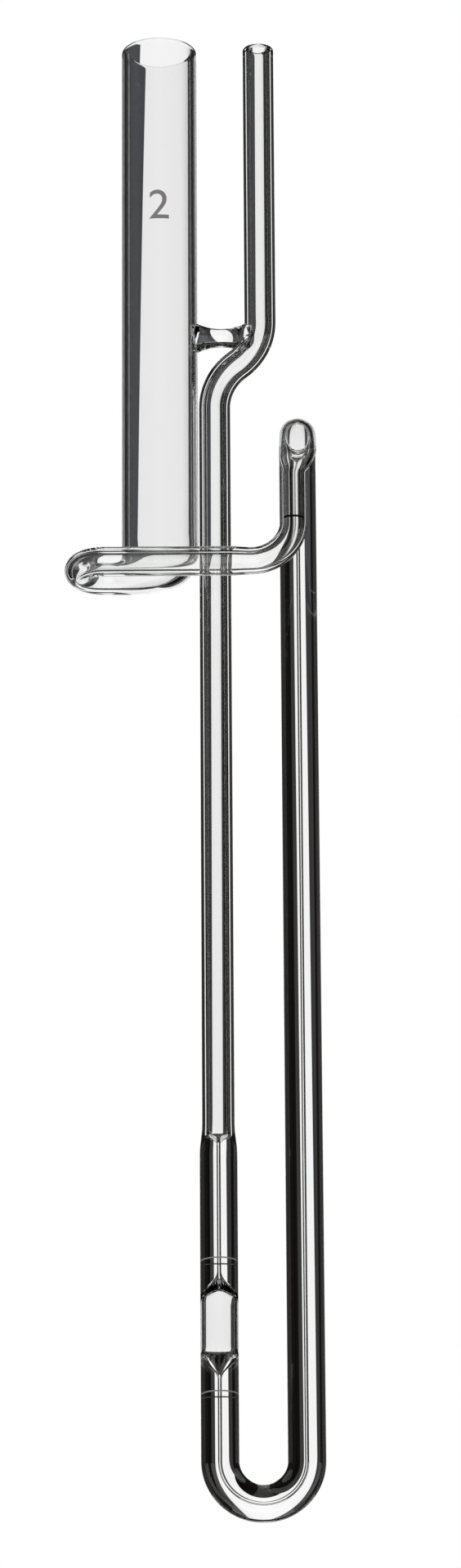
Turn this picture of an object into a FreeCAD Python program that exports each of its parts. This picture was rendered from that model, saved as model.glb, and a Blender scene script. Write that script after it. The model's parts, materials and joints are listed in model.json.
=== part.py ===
import FreeCAD, Part
import math
import os
from types import SimpleNamespace

import Sketcher

# A cross-arm viscometer: one piece of lamp-worked borosilicate glass, in millimetres.
# +Z runs up the tubes, +X from the supply tube to the capillary, +Y to the back.
# The origin is on the supply tube's axis, where a bath holder grips it.
# A "drop" is measured down from the supply tube's rim, a "rise" or "fall" from the part named beside it.

SIZES = {
    # supply tube, and the elbow that closes it and leads to the left
    "rim_height": 30.0,
    "supply_od": 13.5,
    "supply_wall": 1.05,
    "elbow_height": 6.8,
    "elbow_reach": 8.6,
    # cross-arm: left behind, round a loop, and right in front
    "arm_drop": 102.5,
    "arm_od": 5.2,
    "arm_wall": 1.15,
    "arm_spacing": 9.0,
    "loop_x": 9.6,
    # riser at the cross-arm's end, and the neck where the arm narrows to it
    "arm_neck": 4.0,
    "riser_x": 23.5,
    "riser_od": 4.8,
    "riser_wall": 1.05,
    "riser_bend": 7.5,
    # siphon over the top of the riser, above the cross-arm, narrowing to the capillary's bore
    "siphon_rise": 20.5,
    "siphon_wall": 0.8,
    "siphon_flare": 4.0,
    "siphon_funnel": 33.0,
    # capillary and its U-bend
    "capillary_x": 24.3,
    "capillary_od": 6.45,
    "capillary_bore": 0.46,
    "bend_drop": 261.4,
    # measuring bulb in the left leg, above the U-bend
    "leg_x": 9.7,
    "bulb_rise": 14.7,
    "bulb_bore": 5.2,
    "bulb_shoulder": 3.3,
    "bulb_length": 10.1,
    "bulb_cone": 3.7,
    "bulb_round": 3.0,
    # taper above the bulb, from the capillary glass to the vent tube, with a funnel in it
    "taper_rise": 21.6,
    "taper_length": 5.8,
    "funnel_rise": 3.5,
    "funnel_length": 1.8,
    # vent tube and its S-bend
    "vent_x": 17.9,
    "vent_od": 5.55,
    "vent_wall": 1.25,
    "vent_rise": 0.6,
    "vent_bend_drop": 53.2,
    "vent_bend_length": 16.6,
    # glass bridge from the supply tube to the top of the vent tube's bend
    "bridge_fall": 3.1,
    "bridge_end": 5.2,
    "bridge_waist": 3.3,
    # engraved rings above and below the bulb, and the fill line on the riser, above the cross-arm
    "mark_width": 0.22,
    "mark_depth": 0.08,
    "upper_mark_rise": 2.8,
    "lower_mark_fall": 3.3,
    "fill_mark_rise": 7.5,
    "fill_mark_span": 92.0,
    # fire-polished rims
    "rim_round": 0.4,
}

# The elbow's rings follow a fuller curve than a quarter circle, whose power is 2.
ELBOW_RINGS = 5
ELBOW_FULLNESS = 3.0
SAME_HEIGHT = 1e-4


class Size:
    """A number together with the formula that gives it on the sheet."""

    def __init__(self, value, formula=None):
        self.value = value
        self.formula = formula or f"{value}"

    def joined(self, value, sign, other):
        return Size(value, f"({self.formula} {sign} {as_size(other).formula})")

    def __add__(self, other):
        return self.joined(self.value + as_size(other).value, "+", other)

    def __sub__(self, other):
        return self.joined(self.value - as_size(other).value, "-", other)

    def __mul__(self, other):
        return self.joined(self.value * as_size(other).value, "*", other)

    def __truediv__(self, other):
        return self.joined(self.value / as_size(other).value, "/", other)

    def __neg__(self):
        return self * -1


def as_size(number):
    return number if isinstance(number, Size) else Size(number)


def root_of_squares(one, other):
    square = one * one + other * other
    return Size(math.sqrt(square.value), f"sqrt{square.formula}")


def sine(angle):
    return Size(math.sin(math.radians(angle.value)), f"sin({angle.formula} * 1 deg)")


def cosine(angle):
    return Size(math.cos(math.radians(angle.value)), f"cos({angle.formula} * 1 deg)")


def slope(rise, run):
    """The angle in degrees whose tangent is rise over run."""
    angle = math.degrees(math.atan2(rise.value, run.value))
    return Size(angle, f"(atan2({rise.formula}; {run.formula}) / 1 deg)")


doc = FreeCAD.newDocument("viscometer")

dims = doc.addObject("Spreadsheet::Sheet", "dims")
for row, (alias, value) in enumerate(SIZES.items(), start=1):
    dims.set(f"A{row}", alias)
    dims.set(f"B{row}", str(value))
    dims.setAlias(f"B{row}", alias)
doc.recompute()

body = doc.addObject("PartDesign::Body", "glass_body")
body.Label = "glass_body"

# sizes worked out from the sheet's

d = SimpleNamespace(**{alias: Size(value, f"dims.{alias}") for alias, value in SIZES.items()})
ZERO = Size(0)
FULL_TURN = Size(360)
SQUARE_ON = Size(90)

supply_radius = d.supply_od / 2
supply_bore = supply_radius - d.supply_wall
arm_radius = d.arm_od / 2
arm_bore = arm_radius - d.arm_wall
riser_radius = d.riser_od / 2
riser_bore = riser_radius - d.riser_wall
capillary_radius = d.capillary_od / 2
siphon_bore = capillary_radius - d.siphon_wall
fine_bore = d.capillary_bore / 2
vent_radius = d.vent_od / 2
vent_bore = vent_radius - d.vent_wall
bulb_radius = d.bulb_bore / 2

rim_z = d.rim_height
vent_rim_z = d.rim_height + d.vent_rise
arm_z = rim_z - d.arm_drop
elbow_z = arm_z + d.elbow_height
siphon_z = arm_z + d.siphon_rise
fill_mark_z = arm_z + d.fill_mark_rise

bend_z = rim_z - d.bend_drop
bulb_tip_z = bend_z + d.bulb_rise
bulb_foot_z = bulb_tip_z + d.bulb_cone
bulb_top_z = bulb_foot_z + d.bulb_length
bulb_neck_z = bulb_top_z + d.bulb_shoulder
lower_mark_z = bulb_tip_z - d.lower_mark_fall
upper_mark_z = bulb_neck_z + d.upper_mark_rise
taper_z = bulb_neck_z + d.taper_rise
funnel_z = taper_z + d.funnel_rise

vent_bend_z = rim_z - d.vent_bend_drop
bridge_z = vent_bend_z - d.bridge_fall

front_y = -d.arm_spacing
middle_y = -d.arm_spacing / 2
loop_radius = d.arm_spacing / 2
bend_start_x = d.riser_x - d.riser_bend
neck_start_x = bend_start_x - d.arm_neck

# sketches whose places and sizes are formulas


def sketch(name, role, base=None, axis=None, tilt=None):
    """An empty sketch on an origin plane, shifted by sizes and turned about one of its own axes."""
    item = body.newObject("Sketcher::SketchObject", name)
    plane = next(part for part in body.Origin.OriginFeatures if part.Role == role)
    item.AttachmentSupport = [(plane, "")]
    item.MapMode = "FlatFace"
    if axis:
        turn = FreeCAD.Rotation(FreeCAD.Vector(*axis), tilt.value)
        item.AttachmentOffset = FreeCAD.Placement(FreeCAD.Vector(), turn)
        item.setExpression("AttachmentOffset.Rotation.Angle", f"{tilt.formula} * 1 deg")
    for letter, size in (base or {}).items():
        item.setExpression(f"AttachmentOffset.Base.{letter}", size.formula)
    return item


def bind(item, size, kind, *where):
    """A constraint whose value is a formula."""
    index = item.addConstraint(Sketcher.Constraint(kind, *where, size.value))
    item.setExpression(f"Constraints[{index}]", size.formula)


def place(item, geometry, point, x=None, y=None):
    """Holds a point of the sketch at its distances from the sketch's origin."""
    if x:
        bind(item, x, "DistanceX", -1, 1, geometry, point)
    if y:
        bind(item, y, "DistanceY", -1, 1, geometry, point)


def line(item, start, end):
    points = [FreeCAD.Vector(x.value, y.value, 0) for x, y in (start, end)]
    return item.addGeometry(Part.LineSegment(*points), False)


def arc(item, centre, radius, first, last):
    """An arc about a centre, anticlockwise between two angles in degrees, with its radius bound."""
    middle = FreeCAD.Vector(centre[0].value, centre[1].value, 0)
    circle = Part.Circle(middle, FreeCAD.Vector(0, 0, 1), radius.value)
    index = item.addGeometry(Part.ArcOfCircle(circle, math.radians(first), math.radians(last)), False)
    bind(item, radius, "Radius", index)
    return index


def fix(item, kind, *where):
    item.addConstraint(Sketcher.Constraint(kind, *where))


def outline(item, corners):
    """A closed outline of straight edges."""
    count = len(corners)
    for index in range(count):
        line(item, corners[index], corners[(index + 1) % count])
    for index in range(count):
        fix(item, "Coincident", index, 2, (index + 1) % count, 1)
        place(item, index, 1, *corners[index])


def ring(name, radius, x=ZERO, y=ZERO, z=ZERO, axis=None, tilt=None):
    """A circle across a tube, turned about X or Y where the tube leans."""
    item = sketch(name, "XY_Plane", {"x": x, "y": y, "z": z}, axis, tilt)
    item.addGeometry(Part.Circle(FreeCAD.Vector(), FreeCAD.Vector(0, 0, 1), radius.value), False)
    fix(item, "Coincident", 0, 3, -1, 1)
    bind(item, radius, "Radius", 0)
    return item


def feature(kind, name, **settings):
    item = body.newObject(f"PartDesign::{kind}", name)
    for key, value in settings.items():
        setattr(item, key, value)
    return item


def pipe(name, profile, spine, cut=False):
    kind = "SubtractivePipe" if cut else "AdditivePipe"
    return feature(kind, name, Profile=profile, Spine=(spine, []))


def loft(name, rings, cut=False):
    kind = "SubtractiveLoft" if cut else "AdditiveLoft"
    return feature(kind, name, Profile=rings[0], Sections=rings[1:])


def straight(name, profile, length, cut=False):
    """A straight run up from a ring."""
    item = feature("Pocket" if cut else "Pad", name, Profile=profile)
    item.setExpression("Length", length.formula)
    item.Reversed = cut
    return item


def turned(name, profile, line_name="V_Axis", cut=False):
    """A profile turned about one of its sketch's axes."""
    return feature("Groove" if cut else "Revolution", name, Profile=profile, ReferenceAxis=(profile, [line_name]))


# paths that the glass and the bore both follow


def cross_arm_path():
    """From above: left from the elbow, half a turn to the front, then right to the riser's neck."""
    item = sketch("cross_arm_path", "XY_Plane", {"z": arm_z})
    rear = line(item, (-d.elbow_reach, ZERO), (-d.loop_x, ZERO))
    loop = arc(item, (-d.loop_x, middle_y), loop_radius, 90, 270)
    front = line(item, (-d.loop_x, front_y), (neck_start_x, front_y))
    fix(item, "PointOnObject", rear, 1, -1)
    fix(item, "Horizontal", rear)
    place(item, rear, 1, -d.elbow_reach)
    place(item, rear, 2, -d.loop_x)
    fix(item, "Tangent", rear, 2, loop, 1)
    fix(item, "Tangent", loop, 2, front, 1)
    fix(item, "Horizontal", front)
    place(item, front, 2, neck_start_x)
    return item


def riser_path():
    """From the front: a quarter turn up out of the cross-arm, then straight up."""
    item = sketch("riser_path", "XZ_Plane", {"z": d.arm_spacing})
    corner_z = arm_z + d.riser_bend
    top_z = siphon_z - d.siphon_flare
    bend = arc(item, (bend_start_x, corner_z), d.riser_bend, 270, 360)
    rise = line(item, (d.riser_x, corner_z), (d.riser_x, top_z))
    place(item, bend, 1, bend_start_x, arm_z)
    fix(item, "Vertical", bend, 3, bend, 1)
    fix(item, "Tangent", bend, 2, rise, 1)
    fix(item, "Vertical", rise)
    place(item, rise, 2, y=top_z)
    return item


def siphon_path(name, last):
    """From the side: over the top, from the riser back to an angle above the capillary's joint."""
    item = sketch(name, "YZ_Plane", {"z": d.capillary_x})
    bow = arc(item, (middle_y, siphon_z), loop_radius, last.value, 180)
    place(item, bow, 3, middle_y, siphon_z)
    fix(item, "Horizontal", bow, 3, bow, 2)
    bind(item, loop_radius * sine(last), "DistanceY", bow, 3, bow, 1)
    return item


def capillary_path():
    """From the front: down, round the U-bend, and up the left leg to the taper."""
    item = sketch("capillary_path", "XZ_Plane")
    down = line(item, (d.capillary_x, siphon_z), (d.capillary_x, bend_z))
    bend = arc(item, ((d.capillary_x + d.leg_x) / 2, bend_z), (d.capillary_x - d.leg_x) / 2, 180, 360)
    leg = line(item, (d.leg_x, bend_z), (d.leg_x, taper_z))
    place(item, down, 1, d.capillary_x, siphon_z)
    fix(item, "Vertical", down)
    place(item, down, 2, y=bend_z)
    fix(item, "Tangent", down, 2, bend, 2)
    fix(item, "Tangent", bend, 1, leg, 1)
    fix(item, "Vertical", leg)
    place(item, leg, 2, y=taper_z)
    return item


def vent_path():
    """From the front: up the left tube, through two equal arcs to the right, and up to the vent's rim."""
    item = sketch("vent_path", "XZ_Plane")
    low_z = vent_bend_z - d.vent_bend_length
    shift = d.vent_x - d.leg_x
    radius = (shift * shift + d.vent_bend_length * d.vent_bend_length) / (shift * 4)
    turn = 2 * slope(shift, d.vent_bend_length).value
    low = line(item, (d.leg_x, funnel_z), (d.leg_x, low_z))
    outward = arc(item, (d.leg_x + radius, low_z), radius, 180 - turn, 180)
    upward = arc(item, (d.vent_x - radius, vent_bend_z), radius, -turn, 0)
    high = line(item, (d.vent_x, vent_bend_z), (d.vent_x, vent_rim_z))
    place(item, low, 1, d.leg_x, funnel_z)
    fix(item, "Vertical", low)
    place(item, low, 2, y=low_z)
    fix(item, "Tangent", low, 2, outward, 2)
    fix(item, "Tangent", outward, 1, upward, 1)
    fix(item, "Tangent", upward, 2, high, 1)
    fix(item, "Vertical", high)
    place(item, high, 1, d.vent_x)
    place(item, high, 2, y=vent_rim_z)
    return item


# rings for the stretches that change their section on the way


def elbow_rings(name, start_radius, end_radius):
    """Rings that turn and shrink from the supply tube to the rear arm, along a full quarter bend."""
    rings = []
    for index in range(ELBOW_RINGS):
        turn = math.pi / 2 * index / (ELBOW_RINGS - 1)
        across = round(math.cos(turn) ** (2 / ELBOW_FULLNESS), 6)
        along = round(math.sin(turn) ** (2 / ELBOW_FULLNESS), 6)
        half_x = start_radius * across
        half_z = end_radius * along
        rings.append(
            ring(
                f"{name}_{index}",
                root_of_squares(half_x, half_z),
                x=d.elbow_reach * (across - 1),
                z=elbow_z - (elbow_z - arm_z) * along,
                axis=(0, 1, 0),
                tilt=slope(half_z, half_x),
            )
        )
    return rings


def neck_rings(name, start_radius, end_radius):
    """The front arm's end, and the start of the riser's bend to the right of it."""
    start = ring(f"{name}_start", start_radius, neck_start_x, front_y, arm_z, (0, 1, 0), SQUARE_ON)
    end = ring(f"{name}_end", end_radius, bend_start_x, front_y, arm_z, (0, 1, 0), SQUARE_ON)
    return [start, end]


def flare_rings(name, start_radius, end_radius):
    """The riser's top, and the siphon's start just to the right of it."""
    low = ring(f"{name}_low", start_radius, d.riser_x, front_y, siphon_z - d.siphon_flare)
    high = ring(f"{name}_high", end_radius, d.capillary_x, front_y, siphon_z)
    return [low, high]


def siphon_ring(name, radius, angle):
    """A ring in the siphon's back limb, at an angle above the capillary's joint."""
    y = middle_y + loop_radius * cosine(angle)
    z = siphon_z + loop_radius * sine(angle)
    return ring(name, radius, d.capillary_x, y, z, (1, 0, 0), angle)


cross_arm_line = cross_arm_path()
riser_line = riser_path()
siphon_line = siphon_path("siphon_path", ZERO)
siphon_bore_line = siphon_path("siphon_bore_path", d.siphon_funnel)
capillary_line = capillary_path()
vent_line = vent_path()

REAR_ARM = {"x": -d.elbow_reach, "z": arm_z, "axis": (0, 1, 0), "tilt": SQUARE_ON}
FRONT_ARM = {"x": bend_start_x, "y": front_y, "z": arm_z, "axis": (0, 1, 0), "tilt": SQUARE_ON}
SIPHON_FOOT = {"x": d.capillary_x, "y": front_y, "z": siphon_z}
CAPILLARY_TOP = {"x": d.capillary_x, "z": siphon_z}
VENT_FOOT = {"x": d.leg_x, "z": funnel_z}

# the glass, first as solid rods

straight("supply_tube", ring("supply_ring", supply_radius, z=elbow_z), rim_z - elbow_z)
loft("elbow", elbow_rings("elbow_ring", supply_radius, arm_radius))
pipe("cross_arm", ring("cross_arm_ring", arm_radius, **REAR_ARM), cross_arm_line)
loft("arm_neck", neck_rings("neck_ring", arm_radius, riser_radius))
pipe("riser", ring("riser_ring", riser_radius, **FRONT_ARM), riser_line)
loft("siphon_flare", flare_rings("flare_ring", riser_radius, capillary_radius))
pipe("siphon", ring("siphon_ring", capillary_radius, **SIPHON_FOOT), siphon_line)
pipe("capillary", ring("capillary_ring", capillary_radius, **CAPILLARY_TOP), capillary_line)
pipe("vent_tube", ring("vent_ring", vent_radius, **VENT_FOOT), vent_line)

taper_sketch = sketch("taper_profile", "XZ_Plane", {"x": d.leg_x, "y": taper_z})
outline(
    taper_sketch,
    [
        (ZERO, ZERO),
        (capillary_radius, ZERO),
        (vent_radius, d.taper_length),
        (ZERO, d.taper_length),
    ],
)
turned("taper", taper_sketch)

# a waisted rod from the supply tube to the vent tube


def bridge_profile():
    """Half the bridge's section: flat inside both tubes, and a hollow arc between them."""
    item = sketch("bridge_profile", "XZ_Plane", {"y": bridge_z})
    start_x = supply_radius
    stop_x = d.vent_x - vent_radius
    half = (stop_x - start_x) / 2
    sag = (d.bridge_end - d.bridge_waist) / 2
    radius = (half * half + sag * sag) / (sag * 2)
    spread = math.degrees(math.asin(half.value / radius.value))
    edge = d.bridge_end / 2
    base = line(item, (ZERO, ZERO), (d.vent_x, ZERO))
    right_end = line(item, (d.vent_x, ZERO), (d.vent_x, edge))
    right_root = line(item, (d.vent_x, edge), (stop_x, edge))
    waist = arc(item, (start_x + half, d.bridge_waist / 2 + radius), radius, 270 - spread, 270 + spread)
    left_root = line(item, (start_x, edge), (ZERO, edge))
    left_end = line(item, (ZERO, edge), (ZERO, ZERO))
    for first, first_point, second, second_point in (
        (base, 2, right_end, 1),
        (right_end, 2, right_root, 1),
        (right_root, 2, waist, 2),
        (waist, 1, left_root, 1),
        (left_root, 2, left_end, 1),
        (left_end, 2, base, 1),
    ):
        fix(item, "Coincident", first, first_point, second, second_point)
    place(item, base, 1, ZERO, ZERO)
    place(item, base, 2, d.vent_x, ZERO)
    place(item, right_end, 2, d.vent_x, edge)
    place(item, right_root, 2, stop_x, edge)
    place(item, left_root, 1, start_x, edge)
    place(item, left_root, 2, ZERO, edge)
    return item


turned("bridge", bridge_profile(), "H_Axis")

# the one continuous bore, from the supply tube's mouth to the vent's

straight("supply_bore", ring("supply_bore_ring", supply_bore, z=elbow_z), rim_z - elbow_z, cut=True)
loft("elbow_bore", elbow_rings("elbow_bore_ring", supply_bore, arm_bore), cut=True)
pipe("cross_arm_bore", ring("cross_arm_bore_ring", arm_bore, **REAR_ARM), cross_arm_line, cut=True)
loft("arm_neck_bore", neck_rings("neck_bore_ring", arm_bore, riser_bore), cut=True)
pipe("riser_bore", ring("riser_bore_ring", riser_bore, **FRONT_ARM), riser_line, cut=True)
loft("flare_bore", flare_rings("flare_bore_ring", riser_bore, siphon_bore), cut=True)
pipe("siphon_bore", ring("siphon_bore_ring", siphon_bore, **SIPHON_FOOT), siphon_bore_line, cut=True)
loft(
    "siphon_funnel",
    [
        siphon_ring("funnel_ring_wide", siphon_bore, d.siphon_funnel),
        siphon_ring("funnel_ring_fine", fine_bore, ZERO),
    ],
    cut=True,
)
pipe("capillary_bore", ring("capillary_bore_ring", fine_bore, **CAPILLARY_TOP), capillary_line, cut=True)
pipe("vent_bore", ring("vent_bore_ring", vent_bore, **VENT_FOOT), vent_line, cut=True)

funnel_sketch = sketch("vent_funnel_profile", "XZ_Plane", {"x": d.leg_x, "y": funnel_z})
outline(
    funnel_sketch,
    [
        (ZERO, taper_z - funnel_z),
        (fine_bore, taper_z - funnel_z),
        (fine_bore, -d.funnel_length),
        (vent_bore, ZERO),
        (ZERO, ZERO),
    ],
)
turned("vent_funnel", funnel_sketch, cut=True)

bulb_sketch = sketch("bulb_profile", "XZ_Plane", {"x": d.leg_x, "y": bulb_foot_z})
outline(
    bulb_sketch,
    [
        (ZERO, -d.bulb_cone),
        (bulb_radius, ZERO),
        (bulb_radius, d.bulb_length),
        (ZERO, d.bulb_length + d.bulb_shoulder),
    ],
)
turned("bulb", bulb_sketch, cut=True)

# engraved marks


def mark(name, radius, height, span, **base):
    """A fine line cut round the front of a tube, over a span in degrees."""
    item = sketch(f"{name}_profile", "YZ_Plane", {**base, "y": height})
    near = d.mark_depth - radius
    far = -(d.mark_depth + radius)
    half_width = d.mark_width / 2
    outline(item, [(near, -half_width), (near, half_width), (far, half_width), (far, -half_width)])
    cut = turned(name, item, cut=True)
    cut.Midplane = True
    cut.setExpression("Angle", f"{span.formula} * 1 deg")


mark("upper_mark", capillary_radius, upper_mark_z, FULL_TURN, z=d.leg_x)
mark("lower_mark", capillary_radius, lower_mark_z, FULL_TURN, z=d.leg_x)
mark("fill_mark", riser_radius, fill_mark_z, d.fill_mark_span, x=front_y, z=d.riser_x)

doc.recompute()

# rounded edges: the fire-polished rims, and the bulb's two shoulders inside


def rounded(name, radius, heights):
    """A fillet on the round edges that lie flat at the given heights."""
    before = body.Tip
    names = [
        f"Edge{index}"
        for index, edge in enumerate(before.Shape.Edges, start=1)
        for height in heights
        if abs(edge.BoundBox.ZMin - height.value) < SAME_HEIGHT
        and abs(edge.BoundBox.ZMax - height.value) < SAME_HEIGHT
    ]
    item = feature("Fillet", name, Base=(before, names))
    item.setExpression("Radius", radius.formula)
    doc.recompute()


rounded("bulb_shoulders", d.bulb_round, [bulb_top_z, bulb_foot_z])
rounded("rims", d.rim_round, [rim_z, vent_rim_z])

broken = [item.Label for item in doc.Objects if {"Invalid", "Error"} & set(item.State)]
if broken:
    raise RuntimeError(f"these objects failed: {broken}")
if body.Shape.isNull() or not body.Shape.isValid():
    raise RuntimeError("the glass body's shape is not valid")
if len(body.Shape.Solids) != 1:
    raise RuntimeError(f"the glass body has {len(body.Shape.Solids)} solids")

os.makedirs("parts", exist_ok=True)
body.Shape.exportStep(f"parts/{body.Label}.step")
print(f"{body.Label}: {body.Shape.Volume:.1f} cubic millimetres, {len(body.Shape.Faces)} faces")
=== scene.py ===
import json
import math

import bpy
from mathutils import Matrix, Vector


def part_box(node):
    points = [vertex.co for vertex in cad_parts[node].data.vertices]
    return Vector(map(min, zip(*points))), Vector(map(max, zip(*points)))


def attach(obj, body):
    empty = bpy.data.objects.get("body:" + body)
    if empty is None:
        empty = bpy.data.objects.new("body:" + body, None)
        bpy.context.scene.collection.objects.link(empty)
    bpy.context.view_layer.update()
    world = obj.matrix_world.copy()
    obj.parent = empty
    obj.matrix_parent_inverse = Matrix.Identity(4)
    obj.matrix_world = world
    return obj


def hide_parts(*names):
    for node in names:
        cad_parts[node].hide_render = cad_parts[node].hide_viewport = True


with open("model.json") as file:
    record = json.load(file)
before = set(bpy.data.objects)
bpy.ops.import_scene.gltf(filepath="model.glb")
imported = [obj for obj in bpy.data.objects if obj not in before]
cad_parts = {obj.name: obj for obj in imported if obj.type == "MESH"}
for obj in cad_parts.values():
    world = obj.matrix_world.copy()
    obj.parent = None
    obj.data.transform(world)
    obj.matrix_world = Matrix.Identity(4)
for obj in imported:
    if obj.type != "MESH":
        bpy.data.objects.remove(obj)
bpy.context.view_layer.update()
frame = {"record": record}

# Lengths are in metres, angles in degrees. +Z runs up the tubes, +X towards the capillary, +Y to the back.
MM = 0.001
mounts = {mount["name"]: mount for mount in frame["record"]["mounts"]}
low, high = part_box("glass_body")

# tubes: outer radius and bore
SUPPLY_RADIUS = mounts["supply_grip"]["dims"]["r_mm"] * MM
SUPPLY_BORE = mounts["supply_mouth"]["dims"]["r_mm"] * MM
VENT_RADIUS = mounts["vent_nipple"]["dims"]["r_mm"] * MM
VENT_BORE = VENT_RADIUS - 1.25 * MM
ARM_RADIUS = 2.6 * MM
ARM_BORE = 1.45 * MM
RISER_RADIUS = 2.4 * MM
RISER_BORE = 1.35 * MM
CAPILLARY_RADIUS = 3.225 * MM
SIPHON_BORE = 2.425 * MM
FINE_BORE = 0.23 * MM

# where each stretch is
VENT_X = mounts["vent_nipple"]["pos_m"][0]
CAPILLARY_X = high.x - CAPILLARY_RADIUS
RISER_X = CAPILLARY_X - 0.8 * MM
LEG_X = CAPILLARY_X - 14.6 * MM
VENT_RIM_Z = high.z
RIM_Z = VENT_RIM_Z - 0.6 * MM
ARM_Z = RIM_Z - 102.5 * MM
ELBOW_HEIGHT = 6.8 * MM
ELBOW_REACH = 8.6 * MM
LOOP_X = -9.6 * MM
LOOP_RADIUS = 4.5 * MM
FRONT_Y = -2 * LOOP_RADIUS
RISER_BEND = 7.5 * MM
ARM_NECK = 4.0 * MM
SIPHON_Z = ARM_Z + 20.5 * MM
SIPHON_FLARE = 4.0 * MM
SIPHON_FUNNEL = 33.0
BEND_RADIUS = (CAPILLARY_X - LEG_X) / 2
BEND_Z = low.z + CAPILLARY_RADIUS + BEND_RADIUS
BULB_TIP_Z = BEND_Z + 14.7 * MM
BULB_BORE = 2.6 * MM
BULB_CONE = 3.7 * MM
BULB_LENGTH = 10.1 * MM
BULB_SHOULDER = 3.3 * MM
BULB_ROUND = 3.0 * MM
BULB_NECK_Z = BULB_TIP_Z + BULB_CONE + BULB_LENGTH + BULB_SHOULDER
TAPER_Z = BULB_NECK_Z + 21.6 * MM
TAPER_LENGTH = 5.8 * MM
FUNNEL_Z = TAPER_Z + 3.5 * MM
FUNNEL_LENGTH = 1.8 * MM
VENT_BEND_Z = RIM_Z - 53.2 * MM
VENT_BEND_LENGTH = 16.6 * MM
BRIDGE_Z = VENT_BEND_Z - 3.1 * MM
BRIDGE_END = 2.6 * MM
BRIDGE_WAIST = 1.65 * MM
RIM_ROUND = 0.4 * MM

# frosted rings, the fill line and the size number
RING_WIDTH = 0.24 * MM
LOWER_RING_Z = BULB_TIP_Z - 3.3 * MM
UPPER_RING_Z = BULB_NECK_Z + 2.8 * MM
FILL_LINE_WIDTH = 0.40 * MM
FILL_LINE_Z = ARM_Z + 7.5 * MM
FILL_LINE_SPAN = 92.0
NUMBER_Z = -3.4 * MM
NUMBER_HEIGHT = 5.6 * MM
NUMBER_SLICE = 0.25 * MM
NUMBER_START = 1 * MM
NUMBER_DEPTH = 0.02 * MM

# how finely the skins are drawn
AROUND = 120
BEND_STEP = 3.75
ELBOW_STEP = 3.75
ELBOW_FULLNESS = 3.0
SWELL_RINGS = 12
ROUND_STEPS = 8
RIM_SEGMENTS = 6
SMOOTH_UP_TO = 35.0
GUARD = 0.4 * MM
OVERRUN = 1 * MM
NARROW_RIM = 0.05 * MM
SAME_PLACE = 0.001 * MM

X_AXIS = (1, 0, 0)
Y_AXIS = (0, 1, 0)
Z_AXIS = (0, 0, 1)


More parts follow.
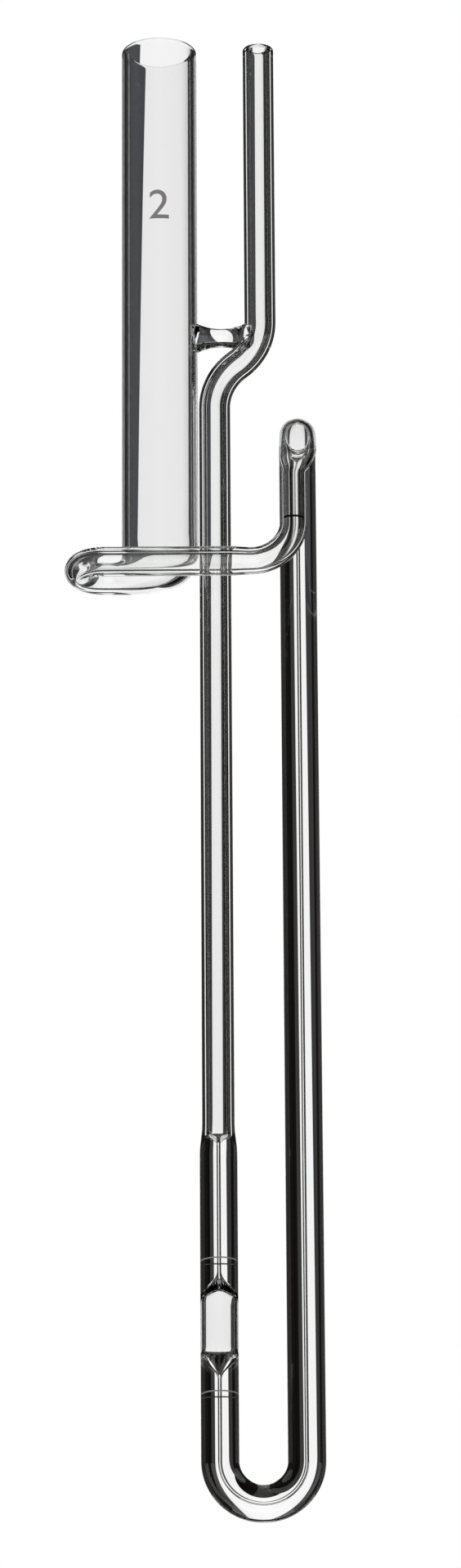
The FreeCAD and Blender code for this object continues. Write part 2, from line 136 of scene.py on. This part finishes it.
class Skin:
    """A closed skin drawn as a chain of rings, each made from the one before it in edit mode."""

    def __init__(self, name, centre, radius):
        bpy.ops.object.select_all(action="DESELECT")
        bpy.ops.mesh.primitive_circle_add(vertices=AROUND, radius=radius, fill_type="NGON", location=centre)
        self.piece = bpy.context.object
        self.piece.name = name
        bpy.ops.object.transform_apply(location=True, rotation=True, scale=True)
        bpy.ops.object.mode_set(mode="EDIT")
        bpy.ops.mesh.select_all(action="SELECT")
        self.centre = Vector(centre)
        self.radius = radius

    def run(self, centre, radius=None):
        """A straight run to a new centre, to a new radius if one is given."""
        move = Vector(centre) - self.centre
        bpy.ops.mesh.extrude_region_move(TRANSFORM_OT_translate={"value": move})
        self.centre = Vector(centre)
        if radius:
            self.resize(radius)

    def straight(self, centre):
        """A long run, with a ring close to each end so that its shading stays level."""
        goal = Vector(centre)
        guard = (goal - self.centre).normalized() * GUARD
        for place in (self.centre + guard, goal - guard, goal):
            self.run(place)

    def resize(self, radius):
        bpy.ops.transform.resize(value=(radius / self.radius,) * 3, center_override=self.centre)
        self.radius = radius

    def swell(self, centre, radius):
        """A run whose radius changes gently, level at both ends."""
        start = self.centre.copy()
        first = self.radius
        for ring in range(1, SWELL_RINGS + 1):
            share = ring / SWELL_RINGS
            ease = (1 - math.cos(math.pi * share)) / 2
            self.run(start.lerp(Vector(centre), share), first + (radius - first) * ease)

    def cone(self, start, stop, radius):
        """A long run up to a cone, then the cone between its two corners, each rounded as blown glass is."""
        first = self.radius
        along = Vector(stop) - Vector(start)
        length = along.length
        along.normalize()
        lean = abs(math.atan((radius - first) / length))
        reach = BULB_ROUND * math.tan(lean / 2)
        growth = math.copysign(BULB_ROUND, radius - first)
        self.straight(Vector(start) - along * reach)
        angles = [lean * step / ROUND_STEPS for step in range(ROUND_STEPS + 1)]
        places = [(BULB_ROUND * math.sin(a) - reach, first + growth * (1 - math.cos(a))) for a in angles[1:]]
        for a in reversed(angles):
            places.append((length + reach - BULB_ROUND * math.sin(a), radius - growth * (1 - math.cos(a))))
        for distance, size in places:
            self.run(Vector(start) + along * distance, size)

    def turn(self, middle, axis, angle, radius=None):
        """A bend about a middle and an axis, by the right-hand rule, narrowing to a radius if one is given."""
        steps = round(abs(angle) / BEND_STEP)
        each = Matrix.Rotation(math.radians(angle / steps), 3, axis)
        middle = Vector(middle)
        first = self.radius
        if radius is None:
            bpy.ops.mesh.spin(steps=steps, angle=-math.radians(angle), center=middle, axis=axis)
            self.centre = middle + Matrix.Rotation(math.radians(angle), 3, axis) @ (self.centre - middle)
            return
        for step in range(1, steps + 1):
            bpy.ops.mesh.spin(steps=1, angle=-math.radians(angle / steps), center=middle, axis=axis)
            self.centre = middle + each @ (self.centre - middle)
            self.resize(first + (radius - first) * step / steps)

    def elbow(self, end_radius):
        """Rings that turn from down to left and shrink at once, along a fuller curve than a quarter circle."""
        top = self.centre.copy()
        first = self.radius
        steps = round(90 / ELBOW_STEP)
        for step in range(1, steps + 1):
            lean = math.radians(ELBOW_STEP * step)
            across = math.cos(lean) / first
            along = math.sin(lean) / end_radius
            radius = (across**ELBOW_FULLNESS + along**ELBOW_FULLNESS) ** (-1 / ELBOW_FULLNESS)
            left = ELBOW_REACH * (1 - radius * across)
            self.run(top + Vector((-left, 0, -ELBOW_HEIGHT * radius * along)))
            bpy.ops.transform.rotate(
                value=-math.radians(ELBOW_STEP), orient_axis="Y", center_override=self.centre
            )
            self.resize(radius)

    def close(self):
        """Fills the last ring and turns every face outwards."""
        bpy.ops.mesh.edge_face_add()
        bpy.ops.mesh.select_all(action="SELECT")
        bpy.ops.mesh.normals_make_consistent(inside=False)
        bpy.ops.object.mode_set(mode="OBJECT")
        return self.piece


def supply_stretch(skin):
    """From the ring above the supply tube's rim down to its elbow."""
    skin.run((0, 0, RIM_Z - RIM_ROUND - GUARD))
    skin.straight((0, 0, ARM_Z + ELBOW_HEIGHT))


def arm_stretch(skin, arm_radius, riser_radius):
    """From the supply tube's foot through the elbow, the cross-arm and its loop to the riser's top."""
    skin.elbow(arm_radius)
    skin.run((LOOP_X, 0, ARM_Z))
    skin.turn((LOOP_X, -LOOP_RADIUS, ARM_Z), Z_AXIS, 180)
    bend_x = RISER_X - RISER_BEND
    skin.straight((bend_x - ARM_NECK, FRONT_Y, ARM_Z))
    skin.swell((bend_x, FRONT_Y, ARM_Z), riser_radius)
    skin.turn((bend_x, FRONT_Y, ARM_Z + RISER_BEND), Y_AXIS, -90)
    skin.straight((RISER_X, FRONT_Y, SIPHON_Z - SIPHON_FLARE))


def bend_stretch(skin):
    """From the siphon's far end down the capillary and round the U-bend."""
    skin.straight((CAPILLARY_X, 0, BEND_Z))
    skin.turn((CAPILLARY_X - BEND_RADIUS, 0, BEND_Z), Y_AXIS, 180)


def vent_stretch(skin, overrun):
    """From the left tube's foot up through the S-bend to the vent's rim."""
    shift = VENT_X - LEG_X
    radius = (shift**2 + VENT_BEND_LENGTH**2) / (4 * shift)
    angle = 2 * math.degrees(math.atan(shift / VENT_BEND_LENGTH))
    start_z = VENT_BEND_Z - VENT_BEND_LENGTH
    skin.straight((LEG_X, 0, start_z))
    skin.turn((LEG_X + radius, 0, start_z), Y_AXIS, angle)
    skin.turn((VENT_X - radius, 0, VENT_BEND_Z), Y_AXIS, -angle)
    skin.straight((VENT_X, 0, VENT_RIM_Z + overrun - RIM_ROUND - GUARD))
    skin.run((VENT_X, 0, VENT_RIM_Z + overrun))


def bulb(skin):
    foot_z = BULB_TIP_Z + BULB_CONE
    shoulder_z = BULB_NECK_Z - BULB_SHOULDER
    skin.cone((LEG_X, 0, BULB_TIP_Z), (LEG_X, 0, foot_z), BULB_BORE)
    skin.cone((LEG_X, 0, shoulder_z), (LEG_X, 0, BULB_NECK_Z), FINE_BORE)


def outer_skin():
    skin = Skin("glass", (0, 0, RIM_Z), SUPPLY_RADIUS)
    supply_stretch(skin)
    arm_stretch(skin, ARM_RADIUS, RISER_RADIUS)
    skin.swell((CAPILLARY_X, FRONT_Y, SIPHON_Z), CAPILLARY_RADIUS)
    skin.turn((CAPILLARY_X, -LOOP_RADIUS, SIPHON_Z), X_AXIS, -180)
    bend_stretch(skin)
    skin.straight((LEG_X, 0, TAPER_Z))
    skin.swell((LEG_X, 0, TAPER_Z + TAPER_LENGTH), VENT_RADIUS)
    vent_stretch(skin, 0)
    return skin.close()


def bore_skin():
    """The passage inside, run out past both rims so that it cuts clean through them."""
    skin = Skin("bore", (0, 0, RIM_Z + OVERRUN), SUPPLY_BORE)
    supply_stretch(skin)
    arm_stretch(skin, ARM_BORE, RISER_BORE)
    skin.swell((CAPILLARY_X, FRONT_Y, SIPHON_Z), SIPHON_BORE)
    middle = (CAPILLARY_X, -LOOP_RADIUS, SIPHON_Z)
    skin.turn(middle, X_AXIS, SIPHON_FUNNEL - 180)
    skin.turn(middle, X_AXIS, -SIPHON_FUNNEL, FINE_BORE)
    bend_stretch(skin)
    bulb(skin)
    skin.straight((LEG_X, 0, FUNNEL_Z - FUNNEL_LENGTH))
    skin.swell((LEG_X, 0, FUNNEL_Z), VENT_BORE)
    vent_stretch(skin, OVERRUN)
    return skin.close()


def bridge():
    """A rod from one tube's axis to the other's, hollow-sided between them."""
    start = SUPPLY_RADIUS
    half = (VENT_X - VENT_RADIUS - start) / 2
    sag = BRIDGE_END - BRIDGE_WAIST
    curve = (half**2 + sag**2) / (2 * sag)
    bpy.ops.object.select_all(action="DESELECT")
    bpy.ops.mesh.primitive_circle_add(
        vertices=AROUND,
        radius=BRIDGE_END,
        fill_type="NGON",
        location=(0, 0, BRIDGE_Z),
        rotation=(0, math.radians(90), 0),
    )
    piece = bpy.context.object
    piece.name = "bridge"
    bpy.ops.object.transform_apply(location=True, rotation=True, scale=True)
    bpy.ops.object.mode_set(mode="EDIT")
    bpy.ops.mesh.select_all(action="SELECT")
    rings = [(start, BRIDGE_END)]
    for step in range(1, 2 * SWELL_RINGS + 1):
        x = -half + step * half / SWELL_RINGS
        rings.append((start + half + x, BRIDGE_WAIST + curve - math.sqrt(curve**2 - x**2)))
    rings.append((VENT_X, BRIDGE_END))
    now = (0, BRIDGE_END)
    for x, radius in rings:
        bpy.ops.mesh.extrude_region_move(TRANSFORM_OT_translate={"value": (x - now[0], 0, 0)})
        share = radius / now[1]
        bpy.ops.transform.resize(value=(1, share, share), center_override=(x, 0, BRIDGE_Z))
        now = (x, radius)
    bpy.ops.mesh.select_all(action="SELECT")
    bpy.ops.mesh.normals_make_consistent(inside=False)
    bpy.ops.object.mode_set(mode="OBJECT")
    return piece


def combine(piece, other, operation):
    """Joins or cuts one piece with another, which is then deleted."""
    bpy.context.view_layer.objects.active = piece
    change = piece.modifiers.new(operation.lower(), "BOOLEAN")
    change.operation = operation
    change.solver = "EXACT"
    change.object = other
    bpy.ops.object.modifier_apply(modifier=change.name)
    bpy.data.objects.remove(other)


def polish_rims(piece):
    """Rounds the edges of both rims."""
    bpy.ops.object.select_all(action="DESELECT")
    bpy.context.view_layer.objects.active = piece
    piece.select_set(True)
    bpy.ops.object.mode_set(mode="EDIT")
    bpy.ops.mesh.select_mode(type="EDGE")
    bpy.ops.mesh.select_all(action="DESELECT")
    bpy.ops.object.mode_set(mode="OBJECT")
    places = piece.data.vertices
    for edge in piece.data.edges:
        ends = [places[corner].co for corner in edge.vertices]
        for rim_z, x in ((RIM_Z, 0), (VENT_RIM_Z, VENT_X)):
            level = all(abs(end.z - rim_z) < SAME_PLACE for end in ends)
            spans = [math.hypot(end.x - x, end.y) for end in ends]
            edge.select = edge.select or (level and abs(spans[0] - spans[1]) < NARROW_RIM)
    bpy.ops.object.mode_set(mode="EDIT")
    bpy.ops.mesh.bevel(offset=RIM_ROUND, segments=RIM_SEGMENTS, affect="EDGES")
    bpy.ops.object.mode_set(mode="OBJECT")


def blow_glass():
    piece = outer_skin()
    combine(piece, bridge(), "UNION")
    combine(piece, bore_skin(), "DIFFERENCE")
    polish_rims(piece)
    bpy.ops.object.shade_smooth_by_angle(angle=math.radians(SMOOTH_UP_TO))
    level = piece.modifiers.new("level", "WEIGHTED_NORMAL")
    level.keep_sharp = True
    bpy.ops.object.modifier_apply(modifier=level.name)
    return piece


def etch_number(glass):
    """A plain size number, cut into upright slices and laid on the front of the supply tube."""
    bpy.ops.object.select_all(action="DESELECT")
    bpy.ops.object.text_add()
    piece = bpy.context.object
    piece.name = "size_number"
    piece.data.body = "2"
    piece.data.align_x = "CENTER"
    piece.data.align_y = "CENTER"
    bpy.ops.object.convert(target="MESH")
    piece.scale = (NUMBER_HEIGHT / piece.dimensions.y,) * 3
    piece.rotation_euler = (math.radians(90), 0, 0)
    piece.location = (0, -SUPPLY_RADIUS - NUMBER_START, NUMBER_Z)
    bpy.ops.object.transform_apply(location=True, rotation=True, scale=True)
    bpy.ops.object.mode_set(mode="EDIT")
    half = round(NUMBER_HEIGHT / 2 / NUMBER_SLICE)
    for count in range(-half, half + 1):
        bpy.ops.mesh.select_all(action="SELECT")
        bpy.ops.mesh.bisect(plane_co=(count * NUMBER_SLICE, 0, 0), plane_no=X_AXIS)
    bpy.ops.object.mode_set(mode="OBJECT")
    lay = piece.modifiers.new("lay", "SHRINKWRAP")
    lay.target = glass
    lay.wrap_method = "PROJECT"
    lay.use_project_y = True
    lay.use_positive_direction = True
    lay.use_negative_direction = False
    lay.wrap_mode = "ABOVE_SURFACE"
    lay.offset = NUMBER_DEPTH
    bpy.ops.object.modifier_apply(modifier=lay.name)
    thicken = piece.modifiers.new("thicken", "SOLIDIFY")
    thicken.thickness = NUMBER_DEPTH
    bpy.ops.object.modifier_apply(modifier=thicken.name)
    bpy.ops.object.mode_set(mode="EDIT")
    bpy.ops.mesh.select_all(action="SELECT")
    bpy.ops.mesh.remove_doubles(threshold=SAME_PLACE)
    bpy.ops.mesh.normals_make_consistent(inside=False)
    bpy.ops.object.mode_set(mode="OBJECT")
    return piece


class Value:
    """A socket of a node tree. Arithmetic on it adds Math nodes, and node() adds any other node."""

    def __init__(self, tree, socket=None):
        self.tree = tree
        self.socket = socket

    def node(self, kind, inputs=None, output=0, **settings):
        made = self.tree.nodes.new(kind)
        for name, setting in settings.items():
            setattr(made, name, setting)
        for place, given in (inputs or {}).items():
            if isinstance(given, Value):
                self.tree.links.new(given.socket, made.inputs[place])
            else:
                made.inputs[place].default_value = given
        return Value(self.tree, made.outputs[output] if made.outputs else None)

    def also(self, output):
        """Another output of the same node."""
        return Value(self.tree, self.socket.node.outputs[output])

    def math(self, operation, *others):
        return self.node("ShaderNodeMath", dict(enumerate((self, *others))), operation=operation)

    def most(self, other):
        return self.math("MAXIMUM", other)

    def within(self, least, most):
        """1 between two limits, and 0 outside them."""
        return (self > least) * (self < most)

    def __add__(self, other):
        return self.math("ADD", other)

    def __sub__(self, other):
        return self.math("SUBTRACT", other)

    def __rsub__(self, other):
        return self.node("ShaderNodeMath", {0: other, 1: self}, operation="SUBTRACT")

    def __mul__(self, other):
        return self.math("MULTIPLY", other)

    def __gt__(self, other):
        return self.math("GREATER_THAN", other)

    def __lt__(self, other):
        return self.math("LESS_THAN", other)

    __radd__ = __add__
    __rmul__ = __mul__


def new_material(name):
    made = bpy.data.materials.new(name)
    made.use_nodes = True
    made.node_tree.nodes.clear()
    return made, Value(made.node_tree)


def mix_colours(factor, first, second):
    inputs = {0: factor, 6: first, 7: second}
    return factor.node("ShaderNodeMix", inputs, output=2, data_type="RGBA")


def band(height, middle, width):
    """1 within a flat slice, and 0 outside it."""
    return (height - middle).math("ABSOLUTE") < width / 2


def on_skin(across, along, radius):
    """1 near the outside of a round tube, from the distances to its axis both ways, and 0 elsewhere."""
    squared = across * across + along * along
    return squared.within((radius * 0.9) ** 2, (radius * 1.1) ** 2)


# glass: a nearly clear tint, and faint lines along it from the drawing of the tube
GLASS_TINT = (0.962, 0.966, 0.962, 1.0)
GLASS_IOR = 1.47
DRAWN_LINES = (900, 900, 12)
DRAWN_STRENGTH = 0.04
DRAWN_DEPTH = 0.002 * MM

# sandblasted marks: from dark to pale, with pits
DARK_GRAIN = (0.105, 0.10, 0.105, 1.0)
PALE_GRAIN = (0.235, 0.22, 0.23, 1.0)
GRAIN_SCALE = 9000.0
GRAIN_DEPTH = 0.01 * MM

LINE_BLACK = (0.002, 0.002, 0.002, 1.0)


def etched_grain(place):
    """Sandblasted glass: a fine mottled grey, dull all over."""
    grain = place.node("ShaderNodeTexNoise", {"Vector": place, "Scale": GRAIN_SCALE, "Detail": 3.0})
    colour = mix_colours(grain, DARK_GRAIN, PALE_GRAIN)
    pitted = place.node("ShaderNodeBump", {"Height": grain, "Strength": 0.3, "Distance": GRAIN_DEPTH})
    return place.node("ShaderNodeBsdfPrincipled", {"Base Color": colour, "Roughness": 0.85, "Normal": pitted})


def etched_number():
    made, start = new_material("etched_number")
    place = start.node("ShaderNodeTexCoord", output="Object")
    place.node("ShaderNodeOutputMaterial", {"Surface": etched_grain(place)})
    return made


def clear_glass():
    """Clear borosilicate, with faint drawn lines, two frosted rings and a black fill line."""
    made, start = new_material("clear_glass")
    place = start.node("ShaderNodeTexCoord", output="Object")
    x = place.node("ShaderNodeSeparateXYZ", {0: place})
    y = x.also("Y")
    z = x.also("Z")

    lines = place.node("ShaderNodeMapping", {0: place, "Scale": DRAWN_LINES})
    ripple = place.node("ShaderNodeTexNoise", {"Vector": lines, "Scale": 1.0, "Detail": 1.0})
    drawn = place.node(
        "ShaderNodeBump", {"Height": ripple, "Strength": DRAWN_STRENGTH, "Distance": DRAWN_DEPTH}
    )
    glass = place.node(
        "ShaderNodeBsdfPrincipled",
        {
            "Base Color": GLASS_TINT,
            "Roughness": 0.0,
            "IOR": GLASS_IOR,
            "Transmission Weight": 1.0,
            "Normal": drawn,
        },
    )

    rings = band(z, UPPER_RING_Z, RING_WIDTH) + band(z, LOWER_RING_Z, RING_WIDTH)
    rings = rings * on_skin(x - LEG_X, y, CAPILLARY_RADIUS)
    ringed = place.node("ShaderNodeMixShader", {0: rings, 1: glass, 2: etched_grain(place)})

    from_y = y - FRONT_Y
    front = from_y < -RISER_RADIUS * math.cos(math.radians(FILL_LINE_SPAN / 2))
    fill_line = band(z, FILL_LINE_Z, FILL_LINE_WIDTH) * on_skin(x - RISER_X, from_y, RISER_RADIUS) * front
    black = place.node(
        "ShaderNodeBsdfPrincipled", {"Base Color": LINE_BLACK, "Roughness": 0.7, "Specular IOR Level": 0.1}
    )
    marked = place.node("ShaderNodeMixShader", {0: fill_line, 1: ringed, 2: black})
    place.node("ShaderNodeOutputMaterial", {"Surface": marked})
    return made


glass = blow_glass()
number = etch_number(glass)
for piece, material in ((glass, clear_glass()), (number, etched_number())):
    piece.data.materials.clear()
    piece.data.materials.append(material)
    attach(piece, "root")
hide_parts("glass_body")


# studio: a pale floor far below, a world that is white to the camera, and cards round the light behind

WHITE = (1.0, 1.0, 1.0, 1.0)
BLUE_GREY = (0.072, 0.073, 0.083, 1.0)
DUSK_GREY = (0.042, 0.041, 0.044, 1.0)
WARM_GREY = (0.046, 0.044, 0.045, 1.0)
WARM_BLACK = (0.005, 0.004, 0.003, 1.0)

FLOOR_Z = -0.75
FLOOR_SIZE = 0.8
FLOOR_COLOUR = (0.9, 0.9, 0.9, 1.0)
FLOOR_GLOW = 0.25

# each card: name, colour, Y, and X and Z of its low left, low right, high left and high right corners
CARDS = (
    ("left_high", BLUE_GREY, 0.280, ((-0.146, 0.045), (-0.0447, 0.045), (-0.146, 0.190), (-0.0164, 0.190))),
    ("left_low", DUSK_GREY, 0.280, ((-0.146, -0.330), (-0.118, -0.330), (-0.146, 0.045), (-0.0447, 0.045))),
    ("right_near", WARM_GREY, 0.280, ((0.037, -0.330), (0.072, -0.330), (0.096, 0.190), (0.150, 0.190))),
    ("right_far", WARM_BLACK, 0.285, ((0.047, -0.330), (0.153, -0.330), (0.106, 0.190), (0.153, 0.190))),
    ("high_card", WARM_BLACK, 0.275, ((-0.146, 0.190), (0.153, 0.190), (-0.146, 0.700), (0.153, 0.700))),
    ("low_card", WARM_BLACK, 0.355, ((-0.240, -0.740), (0.240, -0.740), (-0.240, -0.223), (0.240, -0.223))),
)

# the world's panels: degrees round from straight behind, right positive, and how white each is
HIGH_FROM = 8.0
LEVEL_HALF = 12.0
HIGH_HALF = 17.5
HIGH_LIGHT = 0.07
FRONT_SPAN = (119.0, 151.0)
FRONT_LIGHT = 0.8
BEHIND_SPAN = (-27.0, 23.0)
FALL_FROM = 6.0
FALL_SPAN = 11.0
FALL_LIGHT = 0.2
DIM_LEFT_SPAN = (-72.0, -42.0)
DIM_LEFT_LIGHT = 0.035
DIM_RIGHT_SPAN = (38.0, 65.0)
DIM_RIGHT_LIGHT = 0.018
ROOM_LIGHT = 0.9


def span(around, limits):
    """1 between two bearings, and 0 outside them."""
    return around.within(math.radians(limits[0]), math.radians(limits[1]))


def studio_world():
    """White to the camera. To reflections and to light through the glass it is white panels with dark gaps."""
    world = bpy.data.worlds.new("studio")
    world.use_nodes = True
    world.node_tree.nodes.clear()
    start = Value(world.node_tree)
    toward = start.node("ShaderNodeTexCoord", output="Generated")
    x = toward.node("ShaderNodeSeparateXYZ", {0: toward})
    around = x.math("ARCTAN2", x.also("Y"))
    upward = x.also("Z") > math.sin(math.radians(HIGH_FROM))
    level = 1 - upward
    square_on = (around * 4).math("COSINE")
    level_panels = square_on > math.cos(math.radians(4 * LEVEL_HALF))
    high_panels = (square_on > math.cos(math.radians(4 * HIGH_HALF))) * upward * HIGH_LIGHT
    front_panels = span(around.math("ABSOLUTE"), FRONT_SPAN) * FRONT_LIGHT
    low_panels = level_panels.most(front_panels) * level
    fall = ((around - math.radians(FALL_FROM)) * (FALL_LIGHT / math.radians(FALL_SPAN))).most(0.0)
    behind = span(around, BEHIND_SPAN) * (1 - fall)
    dim_left = span(around, DIM_LEFT_SPAN) * DIM_LEFT_LIGHT
    dim_right = span(around, DIM_RIGHT_SPAN) * DIM_RIGHT_LIGHT
    panels = low_panels.most(high_panels).most(behind).most((dim_left + dim_right) * upward)

    camera = toward.node("ShaderNodeLightPath", output="Is Camera Ray")
    seen = camera.most(camera.also("Is Diffuse Ray") * ROOM_LIGHT)
    colour = mix_colours(seen.most(panels), WARM_BLACK, WHITE)
    sky = start.node("ShaderNodeBackground", {"Color": colour})
    start.node("ShaderNodeOutputWorld", {"Surface": sky})
    bpy.context.scene.world = world


def plane(name, corners):
    """A flat card with its low left, low right, high left and high right corners."""
    bpy.ops.object.select_all(action="DESELECT")
    bpy.ops.mesh.primitive_plane_add(size=1)
    card = bpy.context.object
    card.name = name
    for vertex, corner in zip(card.data.vertices, corners):
        vertex.co = corner
    return card


def floor():
    half = FLOOR_SIZE / 2
    card = plane("floor", [(x, y, FLOOR_Z) for y in (-half, half) for x in (-half, half)])
    made, start = new_material("pale_floor")
    camera = start.node("ShaderNodeLightPath", output="Is Camera Ray")
    seen = camera.most(camera.also("Is Glossy Ray")).most(camera.also("Is Transmission Ray"))
    paint = start.node("ShaderNodeBsdfDiffuse", {"Color": FLOOR_COLOUR})
    glow = start.node("ShaderNodeEmission", {"Color": WHITE, "Strength": seen * FLOOR_GLOW})
    surface = start.node("ShaderNodeAddShader", {0: paint, 1: glow})
    start.node("ShaderNodeOutputMaterial", {"Surface": surface})
    card.data.materials.append(made)


def light_cards():
    """Grey and dark cards round the light behind. Only light that goes through or off the glass meets them."""
    for name, colour, y, corners in CARDS:
        made, start = new_material(name)
        paint = start.node("ShaderNodeEmission", {"Color": colour})
        start.node("ShaderNodeOutputMaterial", {"Surface": paint})
        card = plane(name, [(x, y, z) for x, z in corners])
        card.data.materials.append(made)
        card.visible_camera = False
        card.visible_diffuse = False
        card.visible_shadow = False


LAMP_PLACE = (-0.5, -0.6, 0.9)
LAMP_AIM = Vector((0.5, 0.6, -1.0))
LAMP_SIZE = 0.8
LAMP_POWER = 6


def lamp():
    bpy.ops.object.light_add(type="AREA", location=LAMP_PLACE)
    made = bpy.context.object
    made.name = "soft_lamp"
    made.data.shape = "DISK"
    made.data.size = LAMP_SIZE
    made.data.energy = LAMP_POWER
    made.rotation_euler = LAMP_AIM.to_track_quat("-Z", "Y").to_euler()
    made.visible_glossy = False
    made.visible_transmission = False


# camera: below the object and looking up, as in the photograph

CAMERA_TARGET = Vector((12.13 * MM, 0, -110.7 * MM))
CAMERA_DISTANCE = 1.138
CAMERA_PITCH = 19.5
CAMERA_ROLL = -0.35
CAMERA_LENS = 150


def camera():
    pitch = math.radians(CAMERA_PITCH)
    toward = Vector((0, math.cos(pitch), math.sin(pitch)))
    bpy.ops.object.camera_add(location=CAMERA_TARGET - toward * CAMERA_DISTANCE)
    made = bpy.context.object
    made.name = "camera"
    made.data.lens = CAMERA_LENS
    made.data.clip_start = 0.01
    made.data.clip_end = 20
    roll = Matrix.Rotation(math.radians(CAMERA_ROLL), 3, "Z")
    made.rotation_euler = (toward.to_track_quat("-Z", "Y").to_matrix() @ roll).to_euler()
    bpy.context.scene.camera = made


# how many surfaces light may pass, enough for several tubes one behind another
GLASS_BOUNCES = 24
MIRROR_BOUNCES = 12

studio_world()
floor()
light_cards()
lamp()
camera()
scene = bpy.context.scene
scene.view_settings.view_transform = "Standard"
scene.cycles.max_bounces = GLASS_BOUNCES
scene.cycles.transmission_bounces = GLASS_BOUNCES
scene.cycles.glossy_bounces = MIRROR_BOUNCES
